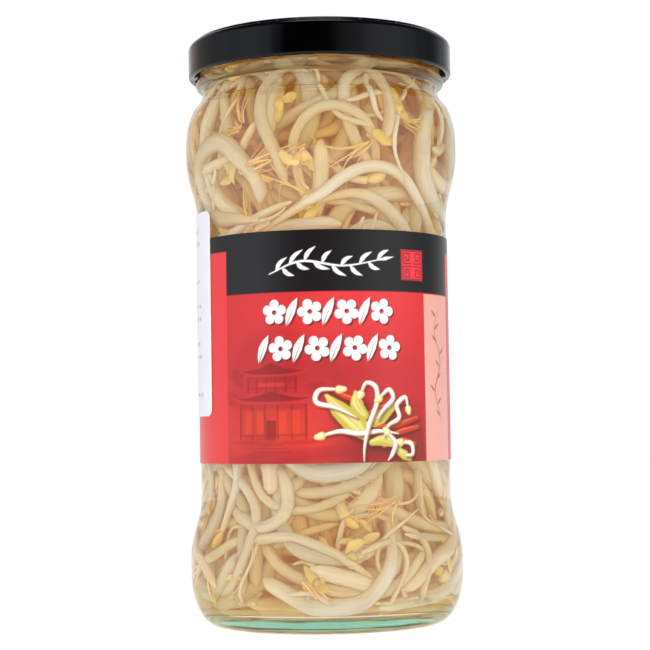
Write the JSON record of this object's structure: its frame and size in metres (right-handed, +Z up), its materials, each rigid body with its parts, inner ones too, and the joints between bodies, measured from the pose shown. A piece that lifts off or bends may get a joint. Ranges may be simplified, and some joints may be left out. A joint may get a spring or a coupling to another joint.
{
  "type": "jar of bean sprouts",
  "caption": "Waisted glass jar of bean sprouts in brine with a paper label and a twist-off lid that turns and lifts on its thread.",
  "frame": {"origin": "on the jar's axis, at the plane of the ring that it stands on", "axes": "+Z up along the jar's axis, the middle of the label faces -Y"},
  "size_m": [0.0676, 0.0676, 0.1454],
  "materials": {
    "glass": "clear, faintly green, polished",
    "lid_lacquer": "satin black lacquer on pressed tinplate",
    "seal_compound": "matt moulded seal",
    "label_paper": "coated paper, red and black print",
    "sticker_paper": "white adhesive paper",
    "brine": "clear pale amber liquid",
    "bean_sprout": "wet, creamy white, slightly translucent, with yellow seed leaves"
  },
  "bodies": {
    "jar": {"glass_jar": "glass", "label": "label_paper", "sticker": "sticker_paper", "brine": "brine", "sprout_01": "bean_sprout", "sprout_02": "bean_sprout", "sprout_03": "bean_sprout", "sprout_04": "bean_sprout", "sprout_05": "bean_sprout", "sprout_06": "bean_sprout", "sprout_07": "bean_sprout", "sprout_08": "bean_sprout", "sprout_09": "bean_sprout", "sprout_10": "bean_sprout", "sprout_11": "bean_sprout", "sprout_12": "bean_sprout", "sprout_13": "bean_sprout", "sprout_14": "bean_sprout", "sprout_15": "bean_sprout", "sprout_16": "bean_sprout", "sprout_17": "bean_sprout", "sprout_18": "bean_sprout", "sprout_19": "bean_sprout", "sprout_20": "bean_sprout", "sprout_21": "bean_sprout", "sprout_22": "bean_sprout", "sprout_23": "bean_sprout", "sprout_24": "bean_sprout", "sprout_25": "bean_sprout", "sprout_26": "bean_sprout", "sprout_27": "bean_sprout", "sprout_28": "bean_sprout", "sprout_29": "bean_sprout", "sprout_30": "bean_sprout", "sprout_31": "bean_sprout", "sprout_32": "bean_sprout", "sprout_33": "bean_sprout", "sprout_34": "bean_sprout", "sprout_35": "bean_sprout", "sprout_36": "bean_sprout", "sprout_37": "bean_sprout", "sprout_38": "bean_sprout", "sprout_39": "bean_sprout", "sprout_40": "bean_sprout"},
    "seal": {"lid_seal": "seal_compound"},
    "lid": {"lid": "lid_lacquer"}
  },
  "joints": [
    {"name": "lid_rise", "type": "slide", "parent": "jar", "child": "seal", "axis": [0, 0, 1], "range_m": [0, 0.0021]},
    {"name": "lid_twist", "type": "hinge", "parent": "seal", "child": "lid", "pos_m": [0, 0, 0.14], "axis": [0, 0, 1], "range_deg": [0, 78]}
  ],
  "couplings": [
    {"joint": "lid_rise", "follows": "lid_twist", "m_per_rad": 0.0015279}
  ]
}
